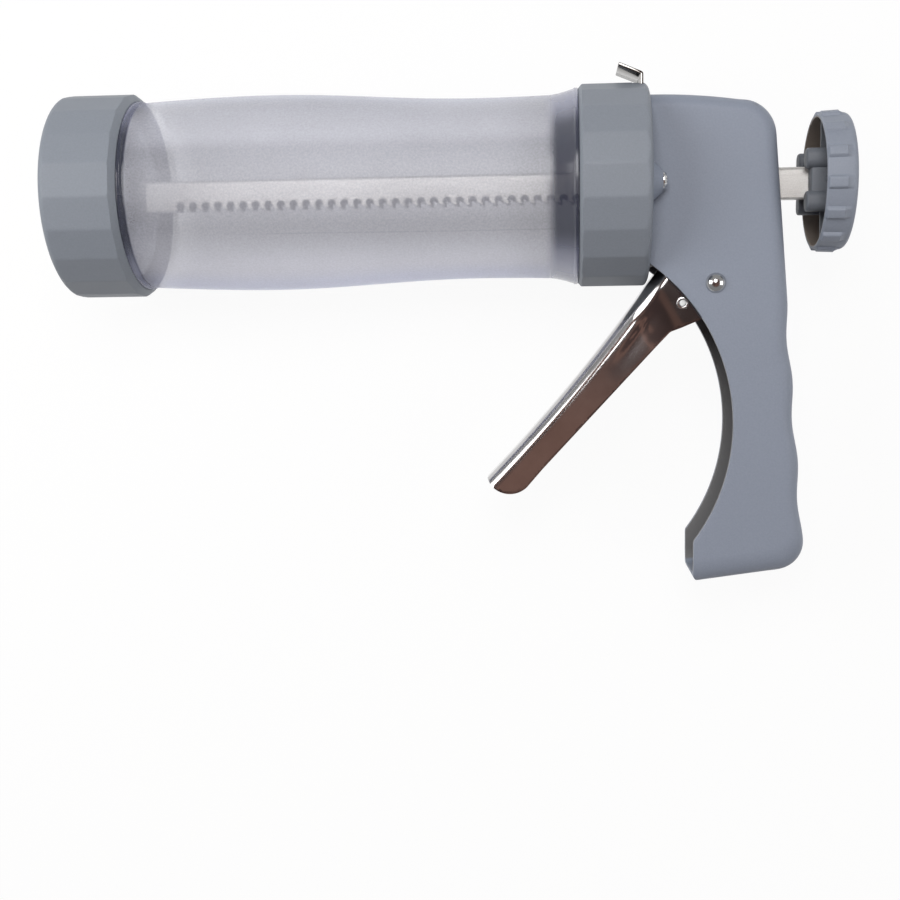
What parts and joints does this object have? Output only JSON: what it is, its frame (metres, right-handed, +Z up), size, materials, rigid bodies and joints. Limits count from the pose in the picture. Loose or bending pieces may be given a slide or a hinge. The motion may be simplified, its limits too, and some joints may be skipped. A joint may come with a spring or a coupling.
{
  "type": "churro maker",
  "caption": "Hand-squeezed churro press: clear barrel with screw-on cap and slotted disc, toothed rod with piston and end knob, hook-shaped handle, pressed steel trigger and thumb release",
  "frame": {"origin": "middle of the footprint on the table, for the press lying on its side with the plunger pushed in", "axes": "X along the barrel from the cap to the knob, Y from the handle's foot to the thumb tab, Z up from the table"},
  "size_m": [0.2524, 0.1662, 0.0657],
  "materials": {
    "grey_plastic": "spark-textured matt",
    "handle_plastic": "spark-textured matt",
    "disc_plastic": "smooth ivory",
    "barrel_plastic": "clear with a frosted middle",
    "piston_plastic": "smooth",
    "seal_rubber": "smooth",
    "zinc_steel": "zinc plated",
    "rod_steel": "nickel plated, stamped edge",
    "trigger_steel": "plated, pressed from sheet",
    "spring_steel": "plain wire",
    "chrome": "polished",
    "pawl_steel": "hardened",
    "plate_steel": "plated, bent sheet"
  },
  "bodies": {
    "press": {"barrel": "barrel_plastic", "rear_ring": "grey_plastic", "ring_screws": "zinc_steel", "handle_body": "handle_plastic", "pivot_rivet": "chrome", "pivot_sleeve": "zinc_steel", "release_spring": "spring_steel"},
    "nozzle": {"nozzle_disc": "disc_plastic"},
    "cap": {"front_cap": "grey_plastic"},
    "plunger": {"rod": "rod_steel", "piston": "piston_plastic", "piston_seal": "seal_rubber", "piston_washer": "zinc_steel", "piston_screw": "zinc_steel", "knob": "handle_plastic"},
    "trigger": {"trigger": "trigger_steel", "trigger_rivet": "zinc_steel", "trigger_spring": "spring_steel", "pawl_pin": "zinc_steel", "pawl_spring": "spring_steel"},
    "pawl": {"drive_pawl": "pawl_steel"},
    "release": {"release_plate": "plate_steel"}
  },
  "joints": [
    {"name": "rod_slide", "type": "slide", "parent": "press", "child": "plunger", "axis": [1, 0, 0], "range_m": [-0.006, 0.155]},
    {"name": "trigger_squeeze", "type": "hinge", "parent": "press", "child": "trigger", "pos_m": [0.0838, 0.0136, 0.03287], "axis": [0, 0, 1], "range_deg": [0, 34], "stiffness_Nm_per_rad": 0.6, "springref_deg": -17.19, "deforming": ["trigger_spring"]},
    {"name": "pawl_swing", "type": "hinge", "parent": "trigger", "child": "pawl", "pos_m": [0.08667, 0.02985, 0.03287], "axis": [0, 0, 1], "range_deg": [-35, 1], "deforming": ["pawl_spring"]},
    {"name": "release_press", "type": "slide", "parent": "press", "child": "release", "axis": [0, -1, 0], "range_m": [0, 0.0022], "stiffness_N_per_m": 300, "springref_m": -0.002, "deforming": ["release_spring"]},
    {"name": "cap_turn", "type": "hinge", "parent": "nozzle", "child": "cap", "pos_m": [-0.1142, 0.0455, 0.03287], "axis": [-1, 0, 0], "range_deg": [0, 1080]},
    {"name": "disc_slide", "type": "slide", "parent": "press", "child": "nozzle", "axis": [-1, 0, 0], "range_m": [0, 0.0121]}
  ],
  "couplings": [
    {"joint": "pawl_swing", "follows": "trigger_squeeze", "ratio": -1},
    {"joint": "disc_slide", "follows": "cap_turn", "m_per_rad": 0.00063662}
  ]
}
